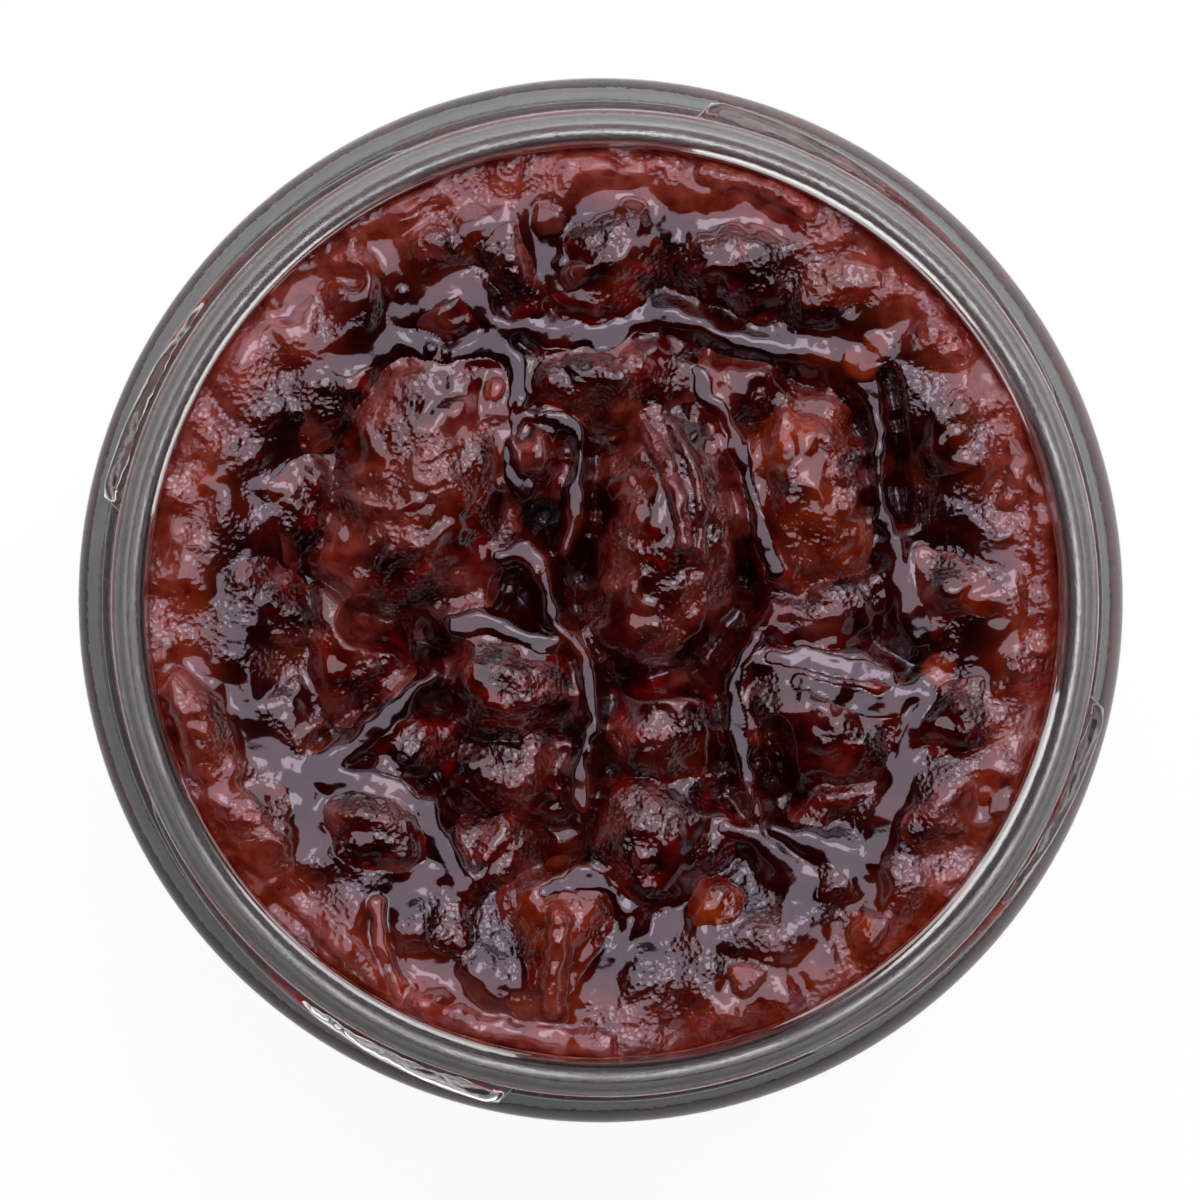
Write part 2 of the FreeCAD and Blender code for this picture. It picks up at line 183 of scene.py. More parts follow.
# %% Material helpers
class Recipe:
    """A new node material, with short ways to add and join its nodes."""

    def __init__(self, name):
        self.material = bpy.data.materials.new(name)
        self.material.use_nodes = True
        self.tree = self.material.node_tree
        self.shader = self.tree.nodes["Principled BSDF"]
        self.output = self.tree.nodes["Material Output"]
        self.place = self.add("ShaderNodeTexCoord").outputs["Object"]

    def add(self, kind, **settings):
        """A new node of this kind, with these settings."""
        node = self.tree.nodes.new(kind)
        for key, value in settings.items():
            setattr(node, key, value)
        return node

    def join(self, source, target):
        """A link from an output socket to an input socket."""
        self.tree.links.new(source, target)

    def attribute(self, name):
        """The number that the piece stores under this name."""
        return self.add("ShaderNodeAttribute", attribute_name=name).outputs["Fac"]

    def noise(self, size_mm, detail=3.0, distortion=0.0):
        """Cloudy noise with lumps of about this size."""
        node = self.add("ShaderNodeTexNoise")
        node.inputs["Scale"].default_value = 1 / (size_mm * MM)
        node.inputs["Detail"].default_value = detail
        node.inputs["Distortion"].default_value = distortion
        self.join(self.place, node.inputs["Vector"])
        return node.outputs["Fac"]

    def cells(self, size_mm):
        """Distance to the nearest of scattered spots about this far apart."""
        node = self.add("ShaderNodeTexVoronoi")
        node.inputs["Scale"].default_value = 1 / (size_mm * MM)
        self.join(self.place, node.inputs["Vector"])
        return node.outputs["Distance"]

    def ramp(self, source, stops):
        """Colours along a number: stops is a list of (number, (red, green, blue))."""
        node = self.add("ShaderNodeValToRGB")
        band = node.color_ramp
        while len(band.elements) < len(stops):
            band.elements.new(0.5)
        for element, (at, colour) in zip(band.elements, stops):
            element.position = at
            element.color = (*colour, 1)
        self.join(source, node.inputs["Fac"])
        return node.outputs["Color"]

    def mix(self, share, a, b):
        """Colour a, with this share of colour b. Each may be a socket or a plain colour."""
        node = self.add("ShaderNodeMix", data_type="RGBA")
        for value, socket in ((share, node.inputs["Factor"]), (a, node.inputs["A"]), (b, node.inputs["B"])):
            if isinstance(value, bpy.types.NodeSocket):
                self.join(value, socket)
            else:
                socket.default_value = value if socket.type == "VALUE" else (*value, 1)
        return node.outputs["Result"]

    def range(self, source, low, high, to_low, to_high):
        """A number carried from one range to another, held at its ends. The last end may be a socket."""
        node = self.add("ShaderNodeMapRange")
        for key, value in (("From Min", low), ("From Max", high), ("To Min", to_low), ("To Max", to_high)):
            if isinstance(value, bpy.types.NodeSocket):
                self.join(value, node.inputs[key])
            else:
                node.inputs[key].default_value = value
        self.join(source, node.inputs["Value"])
        return node.outputs["Result"]

    def math(self, operation, a, b):
        """Two numbers added, multiplied or compared."""
        node = self.add("ShaderNodeMath", operation=operation)
        self.join(a, node.inputs[0])
        self.join(b, node.inputs[1])
        return node.outputs["Value"]

    def bump(self, source, height_mm, under=None, strength=None):
        """Fine relief of this height, on top of another bump if one is given. Strength is a socket
        that fades it."""
        node = self.add("ShaderNodeBump")
        node.inputs["Strength"].default_value = 1.0
        if strength is not None:
            self.join(strength, node.inputs["Strength"])
        node.inputs["Distance"].default_value = height_mm * MM
        self.join(source, node.inputs["Height"])
        if under is not None:
            self.join(under, node.inputs["Normal"])
        return node.outputs["Normal"]

    def set(self, **values):
        """Plain values on the main shader's own sockets, with underscores for spaces."""
        for key, value in values.items():
            self.shader.inputs[key.replace("_", " ")].default_value = value

    def show(self, share, other):
        """The surface shows the main shader, with this share of the other one."""
        node = self.add("ShaderNodeMixShader")
        self.join(share, node.inputs["Fac"])
        self.join(self.shader.outputs["BSDF"], node.inputs[1])
        self.join(other, node.inputs[2])
        self.join(node.outputs["Shader"], self.output.inputs["Surface"])


# %% [markdown]
# ## The glass of the jar
# Clear soda-lime glass has an index of refraction of about 1.5 and a faint grey-green body colour.
# Light has to reach the chutney through it, so for shadow rays alone the glass is a clear pane: this
# is a quick stand-in for caustics. Its surface isn't perfect: a moulded wall has slow waves and
# fine pits, which a low bump gives, and the lip is matt from wiping and from the cap.

# %% Glass material
def glass_material():
    r = Recipe("clear_glass")
    r.set(Base_Color=(0.97, 0.985, 0.98, 1), Metallic=0, IOR=1.5, Transmission_Weight=1)
    hazy = r.range(r.noise(9.0), 0.35, 0.7, 0.0, 0.035)
    matt_lip = r.range(r.attribute("lip"), 0.0, 1.0, 0.0, 0.17)
    r.join(r.math("ADD", hazy, matt_lip), r.shader.inputs["Roughness"])
    waves = r.bump(r.noise(5.0, detail=1.0), 0.02)
    pits = r.bump(r.noise(0.5, detail=2.0), 0.004, under=waves)
    specks = r.bump(r.noise(0.3, detail=3.0), 0.02, under=pits, strength=r.attribute("lip"))
    r.join(specks, r.shader.inputs["Normal"])
    pane = r.add("ShaderNodeBsdfTransparent")
    pane.inputs["Color"].default_value = (0.9, 0.93, 0.92, 1)
    r.show(r.add("ShaderNodeLightPath").outputs["Is Shadow Ray"], pane.outputs["BSDF"])
    return r.material


glass = glass_material()
print("glass index", glass.node_tree.nodes["Principled BSDF"].inputs["IOR"].default_value)

# %% [markdown]
# ## The jar
# A moulded jar is a profile turned about its axis, with the cap lugs raised on its finish. The CAD jar
# has the same sizes but flat facets, and facets show badly through clear glass. So the profile is
# drawn again as arcs and straight runs, its corners are softened as a mould leaves them, and it is
# turned with enough steps for smooth refraction. The lugs are a second radius, blended with the wall.

# %% Jar sizes in millimetres, as in the construction model
WALL = 2.4
FINISH_R = 33.2
BORE_R = 30.9
BASE = 4.0
PUSH_UP = 2.0
HEEL = 5.0
INNER_HEEL = 4.8
RING = 2.6
SHOULDER = 3.8
NECK_Z = JAR_HEIGHT - 10.6
BEAD_Z = JAR_HEIGHT - 8.8
BEAD_HALF, BEAD_PROUD = 0.95, 1.1
INNER_NECK_Z = JAR_HEIGHT - 9.8
INNER_SHOULDER = 6.0
LIP_R = (FINISH_R - BORE_R) / 2
LUG_COUNT, LUG_ARC, LUG_BEARING = 4, 52.0, 51.0
LUG_R, LUG_PROUD, LUG_Z = 1.05, 1.5, JAR_HEIGHT - 4.3
LUG_SLOPE, LUG_LEAD_IN = np.radians(2.2), np.radians(2.2)


# %% Profile of the jar
def run(start, end, count):
    """Evenly spaced points of a straight run, without its end."""
    t = np.arange(count)[:, None] / count
    return (1 - t) * np.array(start) + t * np.array(end)


def bend(centre, radius, first, last, count):
    """Points of an arc between two angles in degrees, without its end: centre + radius (cos, sin)."""
    a = np.radians(first + (last - first) * np.arange(count) / count)
    return np.stack([centre[0] + radius * np.cos(a), centre[1] + radius * np.sin(a)], axis=1)


def arch(start, end, rise, count):
    """A run that swells sideways by rise * 4t(1 - t) in z."""
    points = run(start, end, count)
    t = np.arange(count) / count
    points[:, 1] += rise * 4 * t * (1 - t)
    return points


def outer_profile():
    """Radius and height from the middle of the underside, out over the heel, body, shoulder, bead and
    finish, to the top of the lip."""
    ring_out = BODY_R - HEEL
    neck_r = BODY_R - SHOULDER
    bead = np.linspace(-90, 90, 14)[1:-1]
    bead_r = neck_r + (FINISH_R + BEAD_PROUD - neck_r) * np.cos(np.radians(bead))
    bead_r = np.where(bead > 0, np.maximum(bead_r, FINISH_R), bead_r)
    bead_z = BEAD_Z + BEAD_HALF * np.sin(np.radians(bead))
    return np.concatenate(
        [
            arch((0, PUSH_UP), (ring_out - RING, 0), 0.45, 16),
            run((ring_out - RING, 0), (ring_out, 0), 5),
            bend((ring_out, HEEL), HEEL, -90, 0, 18),
            run((BODY_R, HEEL), (BODY_R, NECK_Z - SHOULDER), 30),
            bend((neck_r, NECK_Z - SHOULDER), SHOULDER, 0, 90, 18),
            run((neck_r, NECK_Z), (neck_r, BEAD_Z - BEAD_HALF), 3),
            np.stack([bead_r, bead_z], axis=1),
            run((FINISH_R, BEAD_Z + BEAD_HALF), (FINISH_R, JAR_HEIGHT - LIP_R), 46),
            bend((FINISH_R - LIP_R, JAR_HEIGHT - LIP_R), LIP_R, 0, 90, 9),
        ]
    )


def inner_profile():
    """Radius and height from the top of the lip, down the bore and the body, to the middle of the
    floor."""
    inner_r = BODY_R - WALL
    t = np.arange(16) / 16
    ease = t * t * (3 - 2 * t)
    throat = np.stack(
        [BORE_R + (inner_r - BORE_R) * ease, INNER_NECK_Z - INNER_SHOULDER * t],
        axis=1,
    )
    return np.concatenate(
        [
            bend((FINISH_R - LIP_R, JAR_HEIGHT - LIP_R), LIP_R, 90, 180, 9),
            run((BORE_R, JAR_HEIGHT - LIP_R), (BORE_R, INNER_NECK_Z), 18),
            throat,
            run((inner_r, INNER_NECK_Z - INNER_SHOULDER), (inner_r, BASE + INNER_HEEL), 30),
            bend((inner_r - INNER_HEEL, BASE + INNER_HEEL), INNER_HEEL, 0, -90, 14),
            arch((inner_r - INNER_HEEL, BASE), (0, BASE + PUSH_UP), 0.45, 16),
        ]
    )


def softened(profile, rounds):
    """The profile with each point moved half-way to the mean of its two neighbours, some times."""
    for _ in range(rounds):
        middle = (profile[:-2] + profile[2:]) / 2
        profile = np.concatenate([profile[:1], (profile[1:-1] + middle) / 2, profile[-1:]])
    return profile


outer = softened(outer_profile(), 2)
inner = softened(inner_profile(), 2)
print(f"jar profile has {len(outer)} points outside and {len(inner)} inside")


# %% Lugs, waves and the jar's mesh
def lug_radius(bearing, height):
    """Radius of the lugs' surface: each is a bent rod of radius LUG_R whose middle climbs with
    the bearing and sinks into the glass towards its start, with a ball at each end."""
    period = 2 * np.pi / LUG_COUNT
    along = (bearing - np.radians(LUG_BEARING) + period / 2) % period - period / 2
    half = np.radians(LUG_ARC) / 2
    held = np.clip(along, -half, half)
    centre_r = FINISH_R + LUG_PROUD - LUG_R - FINISH_R * np.sin(half - held) * LUG_LEAD_IN
    centre_z = LUG_Z + FINISH_R * np.sin(held) * np.sin(LUG_SLOPE)
    off = ((along - held) * FINISH_R) ** 2 + (height - centre_z) ** 2
    return centre_r + np.sqrt(np.maximum(LUG_R**2 - off, 0)) - 3 * np.maximum(off - LUG_R**2, 0)


def make_jar():
    """The profile turned about Z: x = r cos b, y = r sin b, with lugs and slow waves outside, and one
    point at each pole."""
    steps = 240
    profile = np.concatenate([outer[1:], inner[:-1]])
    outside = np.arange(len(profile)) < len(outer) - 1
    bearing = np.arange(steps) / steps * 2 * np.pi
    b, r = np.meshgrid(bearing, profile[:, 0])
    z = np.broadcast_to(profile[:, 1:], r.shape)
    on_finish = (outside & (profile[:, 1] > BEAD_Z + BEAD_HALF) & (profile[:, 1] < JAR_HEIGHT - 0.6))[:, None]
    r = np.where(on_finish, smooth_max(r, lug_radius(b, z), 0.12), r)
    place = np.stack([r * np.cos(b), r * np.sin(b), z], axis=-1)
    body = smooth_step(HEEL, HEEL + 8, z) * (1 - smooth_step(NECK_Z - 10, NECK_Z - 3, z))
    wave = np.where(outside[:, None], -0.06 + 0.05 * soft_noise(place, 22.0, 6), 0.0) * body
    place[..., 0] += wave * np.cos(b)
    place[..., 1] += wave * np.sin(b)
    rows = len(profile)
    points = np.concatenate([place.reshape(-1, 3), [[0, 0, outer[0, 1]]], [[0, 0, inner[-1, 1]]]])
    first, last = np.arange(steps), (rows - 1) * steps + np.arange(steps)
    faces = [
        grid_faces(rows, steps, wrap=True),
        fan_faces(first[::-1], rows * steps),
        fan_faces(last, rows * steps + 1),
    ]
    piece = make_piece("glass_jar", points, faces, glass, ["jar"])
    paint(piece, "lip", smooth_step(JAR_HEIGHT - 1.6, JAR_HEIGHT - 0.7, points[:, 2]))
    return piece


jar = make_jar()
print("jar faces:", len(jar.data.polygons))

# %% [markdown]
# ## Wet fruit and sticky sauce
# Stewed fruit lets light in: it scatters under the skin and comes back red. So its shader has
# subsurface scattering with a long red radius. Over it lies a film of syrup, which is a clear coat.
# The colour wanders from nearly black crimson to brown-red and, where the flesh is thin, to orange and pink.
# The pink is partly the flesh's own colour and partly a painted sheen. Each piece stores how far it leans to
# orange (warm) and to pink (pale), and the shader reads both.

# %% Fruit material
# Pink colours: partly the flesh's own colour, partly a painted sheen.
PALE = [(0.35, (0.15, 0.009, 0.007)), (0.72, (0.39, 0.075, 0.052))]


def lean(r, deep, warm):
    """The main colour: deep, leaning to warm and to PALE by the numbers that the piece stores."""
    pale = r.ramp(r.noise(1.1, detail=3.5), PALE)
    colour = r.mix(r.attribute("warm"), deep, warm)
    r.join(r.mix(r.attribute("pale"), colour, pale), r.shader.inputs["Base Color"])


def pulp_grain(r, film_share, grain_mm, seed_mm):
    """Fine grain over small round seeds, on the flesh and on its coat, faded to film_share where
    syrup lies smooth."""
    rough = r.range(r.attribute("film"), 0.0, 1.0, 1.0, film_share)
    seeds = r.bump(r.cells(0.42), seed_mm, strength=rough)
    grain = r.bump(r.noise(0.8, detail=4.0), grain_mm, under=seeds, strength=rough)
    r.join(grain, r.shader.inputs["Normal"])
    r.join(grain, r.shader.inputs["Coat Normal"])


def fruit_material():
    """Flesh under syrup: mottled dark crimson, brighter red where it is warm."""
    r = Recipe("stewed_fruit")
    mottled = r.ramp(
        r.noise(2.6, detail=4.5, distortion=0.8),
        [(0.38, (0.008, 0.0001, 0.0001)), (0.55, (0.046, 0.0006, 0.0005)), (0.72, (0.15, 0.004, 0.002))],
    )
    warm = r.ramp(
        r.noise(1.8, detail=4.0),
        [(0.35, (0.14, 0.007, 0.002)), (0.65, (0.33, 0.040, 0.008))],
    )
    lean(r, mottled, warm)
    r.join(r.range(r.noise(1.4, detail=3.0), 0.35, 0.7, 0.06, 0.15), r.shader.inputs["Roughness"])
    r.set(
        IOR=1.42,
        Subsurface_Weight=0.4,
        Subsurface_Radius=(1.0, 0.14, 0.07),
        Subsurface_Scale=1.3 * MM,
        Specular_IOR_Level=0.9,
        Specular_Tint=(0.98, 0.74, 0.86, 1),
        Coat_Weight=0.5,
        Coat_Roughness=0.04,
        Coat_IOR=1.45,
    )
    pulp_grain(r, 0.10, 0.10, 0.08)
    return r.material


# %% Sauce material
WALL_GLOSS = (0.66, 0.66, 0.67, 1)
WALL_GLOSS_BLUR = 0.5
GLOSS_FROM, GLOSS_FULL = 0.45, 0.60


def sauce_material(name, against_glass=False):
    """Sticky sauce. Along a real wall, light inside the glass that meets the sauce or a thin pocket
    of air at a slant is mirrored wholly, and the wall guides it up to the shoulder. A renderer stops
    after a few such mirrors and leaves black. So the face against the wall turns to a blurred grey
    gloss as 1 - cos(slant) goes from GLOSS_FROM to GLOSS_FULL, which is 57 to 66 degrees."""
    r = Recipe(name)
    deep = r.ramp(
        r.noise(3.2, detail=4.5, distortion=0.6),
        [(0.3, (0.006, 0.0003, 0.0004)), (0.55, (0.020, 0.0006, 0.0006)), (0.75, (0.070, 0.0025, 0.0018))],
    )
    warm = r.ramp(
        r.noise(2.0, detail=4.0),
        [(0.35, (0.12, 0.006, 0.002)), (0.7, (0.30, 0.036, 0.008))],
    )
    lean(r, deep, warm)
    r.set(
        Roughness=0.11,
        IOR=1.44,
        Subsurface_Weight=0.3,
        Subsurface_Radius=(1.0, 0.14, 0.08),
        Subsurface_Scale=1.2 * MM,
        Specular_IOR_Level=0.9,
        Specular_Tint=(0.90, 0.76, 0.94, 1),
        Coat_Weight=0.4,
        Coat_Roughness=0.07,
        Coat_IOR=1.45,
    )
    pulp_grain(r, 0.06, 0.09, 0.07)
    if against_glass:
        gloss = r.add("ShaderNodeBsdfGlossy")
        gloss.inputs["Color"].default_value = WALL_GLOSS
        gloss.inputs["Roughness"].default_value = WALL_GLOSS_BLUR
        slant = r.add("ShaderNodeLayerWeight")
        slant.inputs["Blend"].default_value = 0.5
        share = r.range(slant.outputs["Facing"], GLOSS_FROM, GLOSS_FULL, 0.0, 1.0)
        r.show(share, gloss.outputs["BSDF"])
    return r.material


fruit_skin = fruit_material()
sauce_skin = sauce_material("sticky_sauce")
sauce_wall = sauce_material("sauce_against_glass", against_glass=True)
print("materials:", [m.name for m in (glass, fruit_skin, sauce_skin, sauce_wall)])


# %% [markdown]
# ## Outlines of the fruit
# Each CAD piece is an egg, flattened where it presses on its neighbours. Its outline, seen from above,
# is read from its mesh as a radius for each bearing. The new piece is a dome over that outline: a
# square grid is bent onto a disc, and the disc onto the outline. A square grid has no pole on top,
# where the grain shows most.

# %% Outline of one piece
BEARINGS = 72
BEARING_REACH = np.radians(9)
OUTLINE_ROUNDS = 9


def node_points(name):
    """The corners of a CAD node in mm, as an array."""
    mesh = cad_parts[name].data
    flat = np.empty(len(mesh.vertices) * 3, dtype=np.float32)
    mesh.vertices.foreach_get("co", flat)
    return flat.reshape(-1, 3).astype(float) / MM


def read_outline(name):
    """Centre, half height and outline of a node: for each bearing, the largest reach of its points
    that lie within a few degrees of it, smoothed round the ring."""
    points = node_points(name)
    low, high = points.min(0), points.max(0)
    centre = (low + high) / 2
    off = points[:, :2] - centre[:2]
    reach = np.hypot(off[:, 0], off[:, 1])
    angle = np.arctan2(off[:, 1], off[:, 0])
    bearing = np.arange(BEARINGS) / BEARINGS * 2 * np.pi
    apart = np.abs((angle[None] - bearing[:, None] + np.pi) % (2 * np.pi) - np.pi)
    near = np.where(apart < BEARING_REACH, reach[None], 0)
    outline = near.max(1)
    for _ in range(OUTLINE_ROUNDS):
        outline = (np.roll(outline, 1) + 2 * outline + np.roll(outline, -1)) / 4
    return centre, (high - low)[2] / 2, outline


def outline_at(outline, angle):
    """The outline's radius at any angle, read between its bearings."""
    spot = (angle / (2 * np.pi) % 1) * BEARINGS
    low = np.floor(spot).astype(int)
    share = spot - low
    return outline[low % BEARINGS] * (1 - share) + outline[(low + 1) % BEARINGS] * share


def disc_grid(n):
    """A square grid of n by n points bent onto a unit disc, ring by ring: each point keeps its
    larger coordinate as its radius, and the other becomes its angle."""
    line = np.linspace(-1, 1, n)
    v, u = np.meshgrid(line, line, indexing="ij")
    wide = np.abs(u) >= np.abs(v)
    with np.errstate(divide="ignore", invalid="ignore"):
        angle = np.where(wide, np.pi / 4 * v / u, np.pi / 2 - np.pi / 4 * u / v)
    radius = np.where(wide, u, v)
    angle = np.nan_to_num(angle)
    return radius * np.cos(angle), radius * np.sin(angle)


def rim_order(n):
    """Point numbers of a square grid's edge, once round, anticlockwise."""
    index = np.arange(n * n).reshape(n, n)
    return np.concatenate([index[0, :-1], index[:-1, -1], index[-1, :0:-1], index[:0:-1, 0]])


fruit_shapes = {name: read_outline(name) for name in fruit_names}
print("outlines read:", len(fruit_shapes))

# %% [markdown]
# Some pieces are smooth, some are crumbly, some show orange flesh or a pale pink sheen, which is painted into
# the colour as a painted sheen. These are notes on single pieces. All others follow from their place: near
# the glass light comes through, so they are painted warmer there, as painted light.

# %% Character of the pieces
# name: share of grain, share of pink flesh and painted sheen, share of orange
CHARACTER = {
    "plum_left": (0.40, 0.40, 0.18),
    "plum_centre": (0.9, 0.35, 0.08),
    "plum_right": (0.9, 0.18, 0.45),
    "plum_lower_right": (0.35, 0.25, 0.0),
    "left_4": (0.25, 0.35, 0.0),
    "back_5": (0.55, 0.15, 0.1),
    "back_7": (0.7, 0.2, 0.05),
    "back_8": (0.6, 0.15, 0.25),
    "back_9": (0.8, 0.65, 0.2),
    "back_10": (0.4, 0.5, 0.3),
    "back_11": (0.5, 0.1, 0.9),
    "right_6": (0.35, 0.1, 0.1),
    "right_5": (0.5, 0.45, 0.15),
    "left_9": (0.6, 0.45, 0.35),
    "middle_4": (1.0, 0.30, 0.0),
    "middle_2": (0.3, 0.15, 0.3),
    "front_3": (0.6, 0.25, 0.5),
    "front_6": (0.8, 0.2, 0.55),
    "front_9": (0.7, 0.3, 0.6),
    "front_10": (0.7, 0.2, 0.7),
    "front_12": (0.7, 0.55, 0.5),
    "front_13": (0.4, 0.2, 0.8),
}


def character(name):
    """Grain, pink and orange of a piece, from the notes or from its distance to the glass; the orange near
    the glass is painted light.
    """
    centre = fruit_shapes[name][0]
    if name in CHARACTER:
        return CHARACTER[name]
    # More orange near the glass: painted light, for light that comes in through the wall.
    rim = smooth_step(0.6, 1.0, np.hypot(centre[0], centre[1]) / BORE_R)
    odd = (lattice_number(np.array([[int(centre[0] * 7), int(centre[1] * 7), 3]]), 1)[0] & 255) / 255
    return 0.7 + 0.3 * odd, 0.12 + 0.25 * odd, 0.1 + 0.4 * rim


# %% [markdown]
# ## One skin over everything
# In the real jar the fruit doesn't lie on the sauce like beans on a plate. Syrup coats it, fills the
# gaps, lies smooth where it pooled, and draws a small hollow curve where it meets a lump. So one
# height over the whole mouth is worked out first, as the smooth maximum of the sauce and of every
# dome, with the pulp's relief on top. Fruit and sauce both take it. Where a piece's own dome is the
# highest, the piece shows, and all others stay a film's thickness below.

# %% Channels of smooth sauce: points in mm from the axis, and half width
CHANNELS = [
    ([(-17.5, 16), (-16, 17), (-14, 17.7), (-12, 17.2), (-10.4, 16.8), (-8.2, 17.7), (-6.8, 18.4)], 0.75),
    ([(-13.6, 19.5), (-12.6, 20.6), (-11, 21.6), (-9.4, 21.6), (-8.6, 20.6), (-7.6, 18.9), (-5, 18.5)], 0.55),
    ([(-5, 18.5), (-2.5, 18.3), (0, 18), (2, 19), (4, 19.2), (6, 18.9), (8, 18.2), (10, 17.5)], 0.85),
    ([(10, 17.5), (12, 17.2), (14, 17.0), (16, 16.5), (17.5, 17.1), (19, 18.5), (20, 19.2)], 0.8),
    ([(-7.4, 17.8), (-6.2, 16.5), (-5.8, 14), (-5.9, 12), (-6.4, 10), (-6.2, 8.6), (-5.4, 7.6)], 0.75),
    ([(-5.2, 12.6), (-3.2, 12.6), (-1.8, 11.6), (-1.5, 10), (-1.9, 8), (-2, 6), (-2.6, 3.4)], 0.55),
    ([(-7.2, 3.0), (-5.4, 3.6), (-4.4, 2.6), (-3.8, 0.6), (-3.5, -1.5), (-2.2, -2.7), (-1.2, -4)], 0.7),
    ([(-10, -1.6), (-8.6, -1.2), (-7, -1.6), (-5.2, -2.6), (-3.4, -2.8)], 0.9),
    ([(17.2, 16.2), (18.2, 14), (18.7, 11.5), (18.6, 9), (19, 6), (19.8, 4)], 0.4),
    ([(19.8, 4), (20.3, 2), (20.6, 0), (21.2, -2)], 1.1),
    ([(6.6, 15.6), (6.9, 13.8), (8.3, 12.6), (9, 11), (9.7, 9), (10.5, 6), (11, 4), (11.6, 2)], 0.6),
    ([(-28, -4), (-26, -6), (-24, -9), (-22, -11), (-20.4, -12), (-20, -14), (-19.8, -16)], 0.7),
    ([(-20.4, -12), (-18, -10.6), (-16, -9), (-14, -7.4), (-12.6, -5.6), (-11.4, -5)], 0.7),
    ([(-19.4, -11.8), (-16, -12), (-14, -13), (-12.4, -14.2), (-11.4, -15.8), (-10.6, -17.6), (-9.6, -19.2)],
     0.8),
    ([(-11.4, -18.4), (-13.6, -19.7), (-15.2, -20.4), (-15.4, -22), (-14.8, -24), (-14, -26)], 0.6),
    ([(-1.4, -4), (-1, -6), (-0.6, -8), (-1.4, -10), (-1.7, -12), (-1.4, -14)], 0.65),
    ([(10.4, -2.6), (9.2, -4.4), (8.7, -6), (9, -8), (9.4, -10), (10, -12.5), (10.5, -14.5)], 0.6),
    ([(8.4, -15.3), (10.4, -15.9), (11.5, -17), (12.6, -18.6), (13.2, -19.8)], 0.85),
    ([(11.5, -15.5), (13.5, -16.2), (16, -17), (18, -18.8)], 0.6),
    ([(11.4, -3.8), (14, -3.9), (17, -4.6), (19.5, -5)], 0.7),
    ([(13.4, -5.5), (16, -6.4), (18.6, -7), (21.4, -6.2)], 0.9),
    ([(21.8, -6.4), (20.6, -9), (20.1, -12), (19.2, -15), (18.6, -17)], 0.45),
    ([(-1, 27), (1.5, 28), (3.2, 27.6), (5, 26.4), (7, 26), (9.4, 26.8), (12, 25.4)], 0.8),
    ([(-4.6, 26), (-3.8, 23.6), (-2.8, 21.6)], 0.9),
    ([(-15.2, 24.4), (-14.4, 22.4), (-13.6, 20)], 0.9),
    ([(-17, 21.8), (-19.4, 22), (-20.6, 21), (-21.2, 19.4)], 0.45),
    ([(1.4, -21), (0.6, -19.8), (-1.6, -18.6), (-4, -19.6)], 0.4),
    ([(1.8, -22), (1, -24.4), (-0.6, -26)], 0.4),
    ([(-12.8, -24.4), (-10.4, -25.8), (-8, -28), (-3, -29.6)], 0.5),
]
# crests, slivers of peel and strips of jelly: points, half width, rise, orange, pink
RIDGES = [
    ([(2.5, 12), (4, 10), (5, 7), (5.5, 4)], 0.6, 0.5, 0.0, 0.35),
    ([(4.4, 12.4), (6, 9.6), (6.6, 6.5), (6.5, 3.2)], 0.4, 0.3, 0.0, 0.2),
    ([(-15.4, -20.5), (-15.2, -23), (-14, -26.5)], 0.6, 0.7, 0.8, 0.3),
    ([(-3, -21.5), (-3.3, -24.5), (-3.6, -27.6)], 0.9, 0.8, 0.5, 0.3),
    ([(-28.6, -6), (-27, -10.5), (-24.8, -14.5), (-22.6, -17.5)], 1.5, 0.6, 0.35, 0.4),
    ([(-22, -19), (-19, -22), (-16, -25), (-12, -28), (-6, -29.5), (0, -30.3)], 1.0, 0.5, 0.75, 0.45),
    ([(7, 29.2), (10, 28.6), (13.5, 27)], 0.9, 0.5, 0.3, 0.8),
    ([(29.6, -3), (29.9, 2), (29.6, 8)], 0.8, 0.3, 0.7, 0.1),
    ([(-20.4, 10.5), (-18, 7.5), (-14.5, 6.2), (-10.5, 7.6)], 0.35, 0.16, 0.0, 0.2),
    ([(-23.5, 22.6), (-18, 25.4), (-12, 27.8)], 0.8, 0.4, 0.6, 0.3),
]
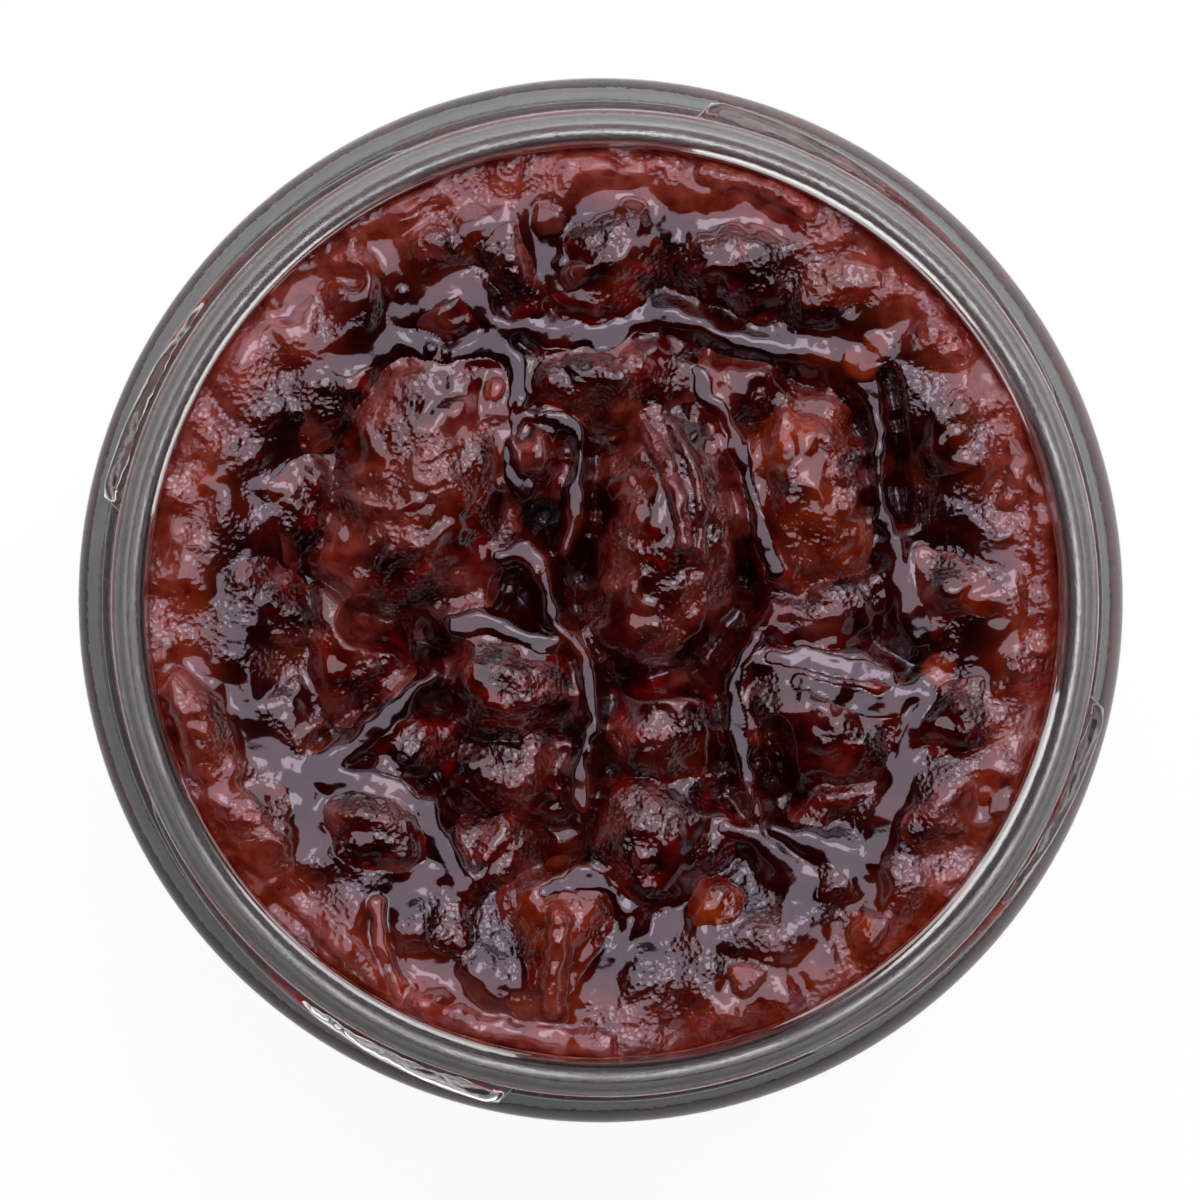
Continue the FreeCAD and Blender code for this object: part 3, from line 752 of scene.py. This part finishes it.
# beads, bubbles and spots of colour: x, y, radius, rise, orange, pink
BEADS = [
    (-4.8, 10, 1.5, 1.1, 0.2, 0.3),
    # A painted highlight: a small pink spot on the upper side of the bead above.
    (-5.3, 10.6, 0.5, 0.2, 0.3, 1.0),
    (-7.5, 14.5, 0.7, 0.3, 0.9, 0.6),
    (-3.8, 26, 1.0, 0.5, 0.2, 0.3),
    (-2.1, 22.1, 0.9, 0.5, 0.1, 0.2),
    (0, -10.5, 1.2, 0.8, 0.0, 0.1),
    (9.2, -13.4, 1.2, 0.8, 0.0, 0.0),
    (18, -22.5, 1.4, 0.5, 0.8, 0.1),
    (9.6, -25.4, 1.2, 0.55, 0.6, 0.2),
    (27.3, 6.8, 0.6, 0.3, 1.0, 0.2),
    (13, 11.5, 1.6, 0.2, 1.0, 0.1),
    (17.5, 16.3, 1.4, 0.2, 0.9, 0.1),
    (18.5, 17.5, 1.0, 0.2, 0.9, 0.1),
    (22.9, -4.5, 1.2, 0.2, 0.9, 0.1),
    (7.2, -21, 1.1, 0.1, 0.8, 0.0),
    (1.5, 12.5, 1.6, 0.1, 0.6, 0.0),
    (-3.6, -27.4, 0.8, 0.3, 1.0, 0.3),
    (-14, -26.3, 0.7, 0.3, 1.0, 0.4),
    (-13.7, 21, 0.45, 0.22, 0.0, 0.0),
    (-10.7, 17.1, 0.4, 0.2, 0.0, 0.0),
    (-11.8, 17.2, 0.45, 0.2, 0.0, 0.0),
    (-5.8, 13.4, 0.4, 0.2, 0.0, 0.0),
    (-4.3, 12.8, 0.4, 0.2, 0.0, 0.0),
    (-3, 23.1, 0.45, 0.2, 0.0, 0.0),
    (-17.9, 21.1, 0.45, 0.2, 0.0, 0.0),
    (-4.8, 1.9, 0.5, 0.25, 0.0, 0.0),
    (-5.6, 0.9, 0.4, 0.2, 0.0, 0.0),
    (-14.6, 3.4, 0.5, 0.2, 0.0, 0.1),
    (-12.2, 2.2, 0.6, 0.25, 0.0, 0.1),
]
# dark clefts between the large pieces: points, half width, depth
HOLLOWS = [
    ([(-16.5, -1.4), (-13, -2.2), (-10.5, -2.6)], 1.3, 2.2),
    ([(-1.8, -3.6), (0.5, -4.6), (3, -5.6), (6, -5)], 0.9, 1.6),
    ([(19.2, 15), (19.9, 9), (20.2, 4)], 0.8, 2.0),
    ([(8.6, 11), (9.6, 4), (10.2, 0)], 0.7, 1.5),
    ([(11.6, -9), (12, -12)], 1.0, 1.5),
    ([(-19, -9.5), (-16.5, -11)], 0.8, 1.2),
    ([(-10.8, -16), (-9.2, -18)], 0.8, 1.2),
    ([(-4.4, 6), (-2.6, 5), (-1.4, 1)], 0.9, 1.4),
]
# level of the sauce, its rise towards the glass, and its fall at the wall itself
SAUCE_Z = JAR_HEIGHT - 7.6
RIM_RISE, RIM_FILL = 1.5, 0.5
EDGE_DROP, EDGE_WIDTH = 0.3, 0.9
# pools in the channels, and the bed between the pieces
POOL_RISE, CHANNEL_DROP = 1.3, 0.9
BED_DROP = 2.3
# how far a hidden surface stays below, how softly heights meet, and how far a dome passes its outline
FILM = 0.2
CREEP = 0.16
OVERLAP = 1.27
# highest place of the skin
SKIN_TOP = JAR_HEIGHT - 3.2
# relief: height and size
FOLDS, LUMPS, GRAINS, FINE = (0.17, 3.6), (0.06, 1.5), (0.11, 0.8), (0.022, 0.42)
SWELL, RIPPLE = (0.045, 1.3), (0.012, 0.45)


def flat(x, y):
    """Places with height 0, for noise over the plan."""
    return np.stack([x, y, 0 * x], axis=-1)


def run_distance(x, y, route):
    """Distance from each place to the nearest straight run of a route."""
    ends = np.array(route, dtype=float)
    nearest = np.full_like(x, 99.0)
    for a, b in zip(ends[:-1], ends[1:]):
        along = b - a
        t = np.clip(((x - a[0]) * along[0] + (y - a[1]) * along[1]) / (along @ along), 0, 1)
        nearest = np.minimum(nearest, np.hypot(x - a[0] - t * along[0], y - a[1] - t * along[1]))
    return nearest


def trimmings(x, y):
    """Ridges and beads over each place: their rise, how much there is of them, orange and pink. Each
    rises as the square root of 1 - d^2, with a shallow groove round it."""
    rise, there, orange, pink = (np.zeros_like(x) for _ in range(4))
    forms = [(run_distance(x, y, route), *rest) for route, *rest in RIDGES]
    forms += [(np.hypot(x - a, y - b), *rest) for a, b, *rest in BEADS]
    ripple = 1 + 0.5 * soft_noise(flat(x, y), 1.3, 63)
    for distance, half, high, warm, pale in forms:
        d = distance * ripple / half
        crest = high * np.sqrt(np.clip(1 - d * d, 0, 1))
        groove = 0.3 * high * np.exp(-(((d - 1.2) / 0.2) ** 2))
        rise = np.maximum(rise, crest) - groove
        share = 1 - smooth_step(0.6, 1.15, d)
        there = np.maximum(there, share)
        orange, pink = np.maximum(orange, warm * share), np.maximum(pink, pale * share)
    return rise, there, orange, pink


def channel_share(x, y):
    """1 in the middle of a channel and 0 outside it, from the distance to the nearest run."""
    share = np.zeros_like(x)
    place = flat(x, y)
    wander = 0.55 * soft_noise(place, 3.2, 31) + 0.3 * soft_noise(place, 1.2, 32)
    for route, half in CHANNELS:
        off = run_distance(x, y, route) + wander
        share = np.maximum(share, 1 - smooth_step(0.25 * half, 1.6 * half + 0.9, off))
    return share


def bent(x, y):
    """The plan, bent by soft noise, so that no outline stays a plain oval."""
    place = flat(x, y)
    off_x = 1.5 * soft_noise(place, 5.0, 33) + 0.55 * soft_noise(place, 1.8, 34)
    off_y = 1.5 * soft_noise(place, 5.0, 35) + 0.55 * soft_noise(place, 1.8, 36)
    return x + off_x, y + off_y


def spread(x, y, name):
    """How far out a place of the bent plan lies on a piece: 0 at its middle, 1 on its outline."""
    centre, _, outline = fruit_shapes[name]
    off_x, off_y = x - centre[0], y - centre[1]
    return np.hypot(off_x, off_y) / outline_at(outline, np.arctan2(off_y, off_x))


def dome_height(rho, name):
    """Height of a piece: half an ellipse over its outline, swollen by OVERLAP, and a steep fall
    beyond."""
    centre, half, _ = fruit_shapes[name]
    out = rho / OVERLAP
    inside = half * (1 - np.clip(out, 0, 1) ** 1.9) ** 0.6
    return centre[2] + inside - 10 * np.maximum(out - 1, 0)


def showing(own_height, highest):
    """1 where a surface is the highest one or nearly so, falling to 0 where it lies 0.3 mm lower."""
    return smooth_step(-0.3, -0.02, own_height - highest)


def skin(x, y):
    """The common skin over each place: its height, the highest dome or bed under it, that of the bed
    alone, the raggedness of its borders, how smooth the film on it is, and the orange and pink of
    the trimmings."""
    place = flat(x, y)
    out = np.hypot(x, y)
    outward = smooth_step(15.0, 27.0, out)
    edge = np.exp(-np.maximum(BORE_R - out, 0) / EDGE_WIDTH)
    channel = channel_share(x, y)
    warp = np.stack([soft_noise(place, 2.6, 42), soft_noise(place, 2.6, 43), 0 * x], axis=-1)
    level = SAUCE_Z + RIM_RISE * outward - EDGE_DROP * edge + 0.6 * soft_noise(place, 9.0, 41)
    bed = level + (RIM_FILL + BED_DROP) * outward - BED_DROP + 0.9 * soft_noise(place + warp, 3.6, 44)
    bent_x, bent_y = bent(x, y)
    ragged = 0.35 * soft_noise(place + 0.6 * warp, 1.5, 61)
    height, highest, grain = bed.copy(), bed.copy(), np.full_like(x, 0.8)
    creep = CREEP * (1 + 1.8 * outward)
    for name in fruit_shapes:
        centre, _, outline = fruit_shapes[name]
        near = np.hypot(bent_x - centre[0], bent_y - centre[1]) < outline.max() * OVERLAP + 1.0
        if not near.any():
            continue
        dome = dome_height(spread(bent_x[near], bent_y[near], name), name) + ragged[near]
        height[near] = smooth_max(height[near], dome, creep[near])
        grain[near] += smooth_step(-0.3, 0.5, dome - highest[near]) * (character(name)[0] - grain[near])
        highest[near] = np.maximum(highest[near], dome)
    hollow = np.zeros_like(x)
    for route, half, depth in HOLLOWS:
        share = 1 - smooth_step(0.3 * half, 1.5 * half, run_distance(x, y, route))
        hollow = np.maximum(hollow, depth * share)
    height = height - hollow * (1 - channel)
    pool = SAUCE_Z + POOL_RISE + 0.3 * soft_noise(place, 6.0, 49)
    pool = smooth_max(pool, height - CHANNEL_DROP, 0.5)
    height = height + channel * (pool - height)
    bed = bed + channel * (np.maximum(highest, bed) + 0.5 - bed)
    patches = soft_noise(place, 4.0, 47) + 0.6 * soft_noise(place, 1.5, 48) - 0.12 * grain
    in_channel = smooth_step(0.1, 0.6, channel + 0.2 * soft_noise(place, 0.9, 37))
    film = np.maximum(smooth_step(-0.12, 0.16, patches), in_channel)
    grain = grain * (1 - channel**2)
    folds = FOLDS[0] * soft_noise(place + 0.9 * warp, FOLDS[1], 51) * (1 - 0.6 * channel)
    lumps = LUMPS[0] * pulp_noise(place + 0.6 * warp, LUMPS[1], 52, octaves=2, fade=0.5)
    grains = GRAINS[0] * (0.5 - grain_noise(place + 0.25 * warp, GRAINS[1], 53))
    fine = FINE[0] * soft_noise(place + 0.1 * warp, FINE[1], 54)
    height = height + folds + grain * (lumps + (grains + fine) * (1 - 0.8 * film))
    swell = SWELL[0] * soft_noise(place + warp, SWELL[1], 55)
    ripple = RIPPLE[0] * soft_noise(place, RIPPLE[1], 56)
    height = height + film * (swell + ripple)
    rise, there, orange, pink = trimmings(x, y)
    film = np.maximum(film, 0.35 * there)
    height = np.minimum(height + rise, SKIN_TOP)
    return height, np.maximum(highest, bed), bed, ragged, film, orange, pink


# %% Pieces of fruit
FRUIT_STEP = 0.185
FRUIT_GRID = 24, 170
MARGIN = 0.8


def painted_rim_light(x, y):
    """How much pale colour is painted along the glass as painted light, for light that comes in through the
    wall: it grows over the last few millimetres, and is most at the back, towards the soft box."""
    out = np.hypot(x, y) + 1.3 * soft_noise(flat(x, y), 2.6, 64)
    return smooth_step(26.3, 29.8, out) * np.clip(0.5 + 0.7 * y / BORE_R, 0, 1)


def make_fruit(name, seed):
    """On top x, y = centre + rho R(angle) (cos, sin), z = the skin, sunk by the film where anything
    else lies higher. Below, rings of the same outline shrink and sink like half an ellipse to a
    closed tip."""
    centre, half, outline = fruit_shapes[name]
    _, pink, orange = character(name)
    n = int(np.clip((outline.max() * OVERLAP + MARGIN) * 2 / FRUIT_STEP, *FRUIT_GRID))
    u, v = disc_grid(n)
    angle, rho = np.arctan2(v, u), np.hypot(u, v)
    reach = rho * (OVERLAP * outline_at(outline, angle) + MARGIN)
    x, y = centre[0] + reach * np.cos(angle), centre[1] + reach * np.sin(angle)
    out = np.hypot(x, y)
    pull = np.minimum(out, BORE_R - 0.1) / out
    x, y = x * pull, y * pull
    height, highest, _, ragged, film, spot_orange, spot_pink = skin(x, y)
    own = showing(dome_height(spread(*bent(x, y), name), name) + ragged, highest)
    z = height - FILM * (1 - own) - 1.0 * smooth_step(0.97, 1.0, rho)
    top = np.stack([x, y, z], axis=-1).reshape(-1, 3)
    rim = rim_order(n)
    around = len(rim)
    turn = np.linspace(0, np.pi / 2, 8)[1:-1, None]
    shrink, sink = np.cos(turn), np.sin(turn)
    tip_z = centre[2] - half
    rows = np.stack(
        [
            centre[0] + (top[rim, 0] - centre[0]) * shrink,
            centre[1] + (top[rim, 1] - centre[1]) * shrink,
            top[rim, 2] + (tip_z - top[rim, 2]) * sink,
        ],
        axis=-1,
    )
    points = np.concatenate([top, rows.reshape(-1, 3), [[centre[0], centre[1], tip_z]]])
    below = n * n + np.arange(rows.shape[0] * around).reshape(-1, around)
    index = np.concatenate([rim[None], below])
    under = fan_faces(index[-1][::-1], len(points) - 1)
    faces = [grid_faces(n, n), ring_faces(index), under]
    piece = make_piece(f"{name}_flesh", points, faces, fruit_skin, [name])
    smooth = np.zeros(len(points))
    smooth[: n * n] = film.ravel()
    paint(piece, "film", smooth)
    # Pink: the flesh's own colour and a painted sheen.
    pale = smooth_step(0.0, 0.5, soft_noise(points, 3.4, seed + 50) + pink - 0.25)
    pale = pale * min(0.8, 0.75 * pink + 0.15)
    warm = smooth_step(-0.1, 0.5, soft_noise(points, 4.5, seed + 60) + orange - 0.25)
    warm = warm * min(1, orange + 0.1)
    # The pink here includes the painted light along the glass.
    pale[: n * n] = np.maximum(pale[: n * n], np.maximum(spot_pink, painted_rim_light(x, y)).ravel())
    warm[: n * n] = np.maximum(warm[: n * n], spot_orange.ravel())
    paint(piece, "pale", pale)
    paint(piece, "warm", warm)
    return piece


flesh = [make_fruit(name, 100 + 13 * i) for i, name in enumerate(sorted(fruit_names))]
flesh_faces = [len(piece.data.polygons) for piece in flesh]
print("fruit faces:", sum(flesh_faces), "largest", max(flesh_faces))

# %% [markdown]
# ## The sauce
# The sauce takes the skin wherever no fruit shows, and dips just under it where fruit does. Its side
# reaches a hair into the glass, so that no film of air shows between them, as none does where
# liquid wets a wall.

# %% Sauce at the top
INTO_WALL = 0.07
TOP_DEPTH = 9.0
TOP_GRID, SIDE_ROWS = 300, 6


def inner_radius(z):
    """Radius of the glass inside, at a height."""
    order = np.argsort(inner[:, 1])
    return np.interp(z, inner[order, 1], inner[order, 0])


def make_sauce_top():
    """A disc with the skin's height, closed by a side that follows the glass and by a flat
    underside."""
    n = TOP_GRID
    u, v = disc_grid(n)
    x, y = u * (BORE_R + INTO_WALL), v * (BORE_R + INTO_WALL)
    z, highest, bed, _, film, spot_orange, spot_pink = skin(x, y)
    z = z - FILM * (1 - showing(bed, highest))
    top = np.stack([x, y, z], axis=-1).reshape(-1, 3)
    rim = rim_order(n)
    edge = top[rim]
    bottom_z = SAUCE_Z - TOP_DEPTH
    rows = []
    for t in np.linspace(0, 1, SIDE_ROWS + 1)[1:]:
        level = edge[:, 2] * (1 - t) + bottom_z * t
        shrink = (inner_radius(level) + INTO_WALL) / (BORE_R + INTO_WALL)
        rows.append(np.stack([edge[:, 0] * shrink, edge[:, 1] * shrink, level], axis=-1))
    points = np.concatenate([top, *rows, [[0, 0, bottom_z]]])
    around = len(rim)
    below = n * n + np.arange(SIDE_ROWS * around).reshape(SIDE_ROWS, around)
    index = np.concatenate([rim[None], below])
    side = ring_faces(index)
    under = fan_faces(index[-1][::-1], len(points) - 1)
    faces = [grid_faces(n, n), side, under]
    piece = make_piece("sauce_top", points, faces, sauce_skin, ["sauce"])
    piece.data.materials.append(sauce_wall)
    against = np.zeros(len(piece.data.polygons), dtype=np.int32)
    against[(n - 1) ** 2 : (n - 1) ** 2 + len(side)] = 1
    piece.data.polygons.foreach_set("material_index", against)
    # Warmer near the glass: painted light, for light that comes in through the wall. The patches are the
    # sauce's own colour.
    near_glass = smooth_step(0.80, 0.97, np.hypot(points[:, 0], points[:, 1]) / BORE_R)
    patch = soft_noise(points, 5.0, 71)
    warm = np.clip(0.75 * near_glass + 0.3 * smooth_step(0.1, 0.6, patch), 0, 1)
    warm[: n * n] = np.maximum(warm[: n * n], spot_orange.ravel())
    warm[n * n :] = 0.06
    paint(piece, "warm", warm)
    pale = np.zeros(len(points))
    # The pink here includes the painted light along the glass.
    pale[: n * n] = np.maximum(spot_pink, 0.8 * painted_rim_light(x, y)).ravel()
    paint(piece, "pale", pale)
    smooth = np.zeros(len(points))
    smooth[: n * n] = film.ravel()
    paint(piece, "film", smooth)
    return piece


sauce_top = make_sauce_top()
print("sauce_top faces:", len(sauce_top.data.polygons))

# %% Sauce below, and the film on the bore
SMEAR, SMEAR_FOOT = 0.16, JAR_HEIGHT - 8.5
SMEAR_EDGE, SMEAR_TOP = JAR_HEIGHT - 4.9, JAR_HEIGHT - 4.0


def make_sauce_body():
    """What fills the jar below: the inside of the glass turned about Z, a hair larger."""
    steps, rows = 160, 70
    top_z = SAUCE_Z - TOP_DEPTH
    z = np.linspace(top_z, BASE + 0.3, rows)
    r = inner_radius(z) + INTO_WALL
    bearing = np.arange(steps) / steps * 2 * np.pi
    b, radius = np.meshgrid(bearing, r)
    height = np.broadcast_to(z[:, None], radius.shape)
    place = np.stack([radius * np.cos(b), radius * np.sin(b), height], axis=-1).reshape(-1, 3)
    points = np.concatenate([place, [[0, 0, top_z]], [[0, 0, BASE + PUSH_UP - INTO_WALL]]])
    last = (rows - 1) * steps + np.arange(steps)
    faces = [
        grid_faces(rows, steps, wrap=True)[:, ::-1],
        fan_faces(np.arange(steps), rows * steps),
        fan_faces(last[::-1], rows * steps + 1),
    ]
    piece = make_piece("sauce_body", points, faces, sauce_wall, ["sauce"])
    chunks = grain_noise(points, 11.0, 81)
    paint(piece, "warm", np.clip(0.08 + 0.4 * (0.55 - chunks), 0, 1))
    paint(piece, "pale", np.zeros(len(points)))
    paint(piece, "film", np.ones(len(points)))
    return piece


def make_smear():
    """A thin brown film of sauce that was wiped up the bore when the jar was filled: a ring against
    the glass with a ragged upper edge."""
    steps, rows = 720, 9
    bearing = np.arange(steps) / steps * 2 * np.pi
    around = np.stack([BORE_R * np.cos(bearing), BORE_R * np.sin(bearing), 0 * bearing], axis=-1)
    top_z = SMEAR_EDGE + 0.9 * pulp_noise(around, 7.0, 91, octaves=4, fade=0.6)
    top_z = np.minimum(top_z, SMEAR_TOP)
    t = np.linspace(0, 1, rows)[:, None]
    z = SMEAR_FOOT * (1 - t) + top_z[None] * t
    place = np.stack([BORE_R * np.cos(bearing) + 0 * z, BORE_R * np.sin(bearing) + 0 * z, z], axis=-1)
    uneven = 0.5 + 1.2 * np.clip(pulp_noise(place, 1.6, 92, octaves=3), -0.3, 1)
    thick = SMEAR * uneven * np.sqrt(1 - 0.9 * t)
    inside = np.stack([(BORE_R - thick) * np.cos(bearing), (BORE_R - thick) * np.sin(bearing), z], axis=-1)
    back = BORE_R + INTO_WALL
    outside = np.stack([back * np.cos(bearing) + 0 * z, back * np.sin(bearing) + 0 * z, z], axis=-1)[::-1]
    points = np.concatenate([inside, outside]).reshape(-1, 3)
    closed = np.concatenate([np.arange(2 * rows), [0]])
    faces = [ring_faces(closed[:, None] * steps + np.arange(steps)[None])]
    piece = make_piece("smear", points, faces, fruit_skin, [])
    paint(piece, "warm", 0.3 + 0.4 * smooth_step(-0.2, 0.5, soft_noise(points, 5.0, 93)))
    paint(piece, "pale", 0.3 * smooth_step(-0.2, 0.5, soft_noise(points, 1.5, 94)))
    paint(piece, "film", np.full(len(points), 0.3))
    return piece


for piece in (make_sauce_body(), make_smear()):
    print(piece.name, "faces:", len(piece.data.polygons))

# %% [markdown]
# ## Floor, light and camera
# The jar stands on a plain pale floor under one large soft box, as on a product table. The box lies
# overhead and towards the back. Wet sauce mirrors it: a level stretch shows the box as an even
# sheen, and a slope that leans to the front mirrors the dim room and goes dark.

# %% Floor
BACK_RIGHT = (0.55, 0.835, 0.0)
FLOOR_GLOW, GLOW_SHARE = 1.08, 0.85
FLOOR_HALF = 3.0


def floor_material():
    """A matt white floor that shows as white to the eye, and keeps a share of its true shading, which holds
    the jar's shadow. In glass and gloss it glows as a pale sheet of painted light that ends half a metre off,
    and is half as bright at the front left as at the back right, where the light comes from."""
    r = Recipe("pale_floor")
    r.set(Roughness=0.9, Specular_IOR_Level=0.0)
    speck = r.ramp(r.noise(60.0), [(0.3, (0.80, 0.80, 0.80)), (0.7, (0.82, 0.82, 0.82))])
    r.join(speck, r.shader.inputs["Base Color"])
    paths = r.add("ShaderNodeLightPath")
    mirrored = r.math("MAXIMUM", paths.outputs["Is Transmission Ray"], paths.outputs["Is Glossy Ray"])
    away = r.add("ShaderNodeVectorMath", operation="LENGTH")
    r.join(r.place, away.inputs[0])
    sheet = r.math("MULTIPLY", mirrored, r.range(away.outputs["Value"], 0.10, 0.45, 1.0, 0.0))
    along = r.add("ShaderNodeVectorMath", operation="DOT_PRODUCT")
    r.join(r.place, along.inputs[0])
    along.inputs[1].default_value = BACK_RIGHT
    lit = r.range(along.outputs["Value"], -0.12, 0.12, 0.5 * FLOOR_GLOW, 1.1 * FLOOR_GLOW)
    glow = r.add("ShaderNodeEmission")
    r.join(r.range(mirrored, 0.0, 1.0, FLOOR_GLOW, lit), glow.inputs["Strength"])
    white = r.math("MAXIMUM", paths.outputs["Is Camera Ray"], sheet)
    r.show(r.range(white, 0.0, 1.0, 0.0, GLOW_SHARE), glow.outputs["Emission"])
    return r.material


def make_floor():
    """A square floor that reaches FLOOR_HALF metres each way from the jar."""
    mesh = bpy.data.meshes.new("floor")
    corners = [(FLOOR_HALF * x, FLOOR_HALF * y, 0) for x, y in ((-1, -1), (1, -1), (1, 1), (-1, 1))]
    mesh.from_pydata(corners, [], [(0, 1, 2, 3)])
    mesh.materials.append(floor_material())
    floor = bpy.data.objects.new("floor", mesh)
    bpy.context.collection.objects.link(floor)
    return floor


floor = make_floor()

# %% Room: a dim studio, paler low down and towards the back right
PALE_BELOW, OVERHEAD = 0.42, 0.012
ROOM_FRONT, ROOM_BACK = 0.2, 1.7
world = bpy.data.worlds.new("studio")
bpy.context.scene.world = world
world.use_nodes = True
nodes, links = world.node_tree.nodes, world.node_tree.links
direction = nodes.new("ShaderNodeTexCoord").outputs["Generated"]
upward = nodes.new("ShaderNodeSeparateXYZ")
links.new(direction, upward.inputs["Vector"])
towards = nodes.new("ShaderNodeVectorMath")
towards.operation = "DOT_PRODUCT"
towards.inputs[1].default_value = BACK_RIGHT
links.new(direction, towards.inputs[0])


def room_range(source, low, high, to_low, to_high):
    """A number of the room's graph carried from one range to another."""
    node = nodes.new("ShaderNodeMapRange")
    for key, value in (("From Min", low), ("From Max", high), ("To Min", to_low), ("To Max", to_high)):
        node.inputs[key].default_value = value
    links.new(source, node.inputs["Value"])
    return node.outputs["Result"]


strength = nodes.new("ShaderNodeMath")
strength.operation = "MULTIPLY"
links.new(room_range(upward.outputs["Z"], 0.0, PALE_BELOW, 1.0, OVERHEAD), strength.inputs[0])
links.new(room_range(towards.outputs["Value"], -1.0, 1.0, ROOM_FRONT, ROOM_BACK), strength.inputs[1])
nodes["Background"].inputs["Color"].default_value = (0.98, 0.99, 1.0, 1)
links.new(strength.outputs[0], nodes["Background"].inputs["Strength"])


# %% Soft box
LAMP_COLOUR = (1.0, 0.97, 1.0)
LAMP_AIM = (0, 0, 0.08)


def soft_box(name, place, size_x, size_y, radiance):
    """An even rectangular light at place that faces LAMP_AIM. Its power is radiance times area times
    pi."""
    lamp = bpy.data.lights.new(name, "AREA")
    lamp.shape = "RECTANGLE"
    lamp.size, lamp.size_y = size_x, size_y
    lamp.energy = radiance * size_x * size_y * float(np.pi)
    lamp.color = LAMP_COLOUR
    obj = bpy.data.objects.new(name, lamp)
    bpy.context.collection.objects.link(obj)
    obj.location = place
    obj.rotation_euler = (Vector(LAMP_AIM) - Vector(place)).to_track_quat("-Z", "Y").to_euler()
    return obj


big_box = soft_box("big_box", (0.05, 0.52, 1.12), 1.7, 1.66, 1.95)
key_box = soft_box("key_box", (0.15, 0.45, 1.00), 0.35, 0.40, 3.6)
for box in (big_box, key_box):
    print(box.name, f"{box.data.energy:.1f} W")

# %% Camera
RANGE = 0.42
SENSOR_WIDTH, LENS = 36.0, 188.2
eye = Vector((-0.0091, 0.0061, JAR_HEIGHT * MM + RANGE))
aim = Vector((-0.0004, 0.00025, JAR_HEIGHT * MM))
back = (eye - aim).normalized()
right = Vector((0, 1, 0)).cross(back).normalized()
up = back.cross(right)
camera_data = bpy.data.cameras.new("camera")
camera_data.sensor_width = SENSOR_WIDTH
camera_data.lens = LENS
camera = bpy.data.objects.new("camera", camera_data)
bpy.context.collection.objects.link(camera)
camera.matrix_world = Matrix((right, up, back)).transposed().to_4x4()
camera.location = eye
bpy.context.scene.camera = camera

scene = bpy.context.scene
scene.view_settings.view_transform = "Standard"
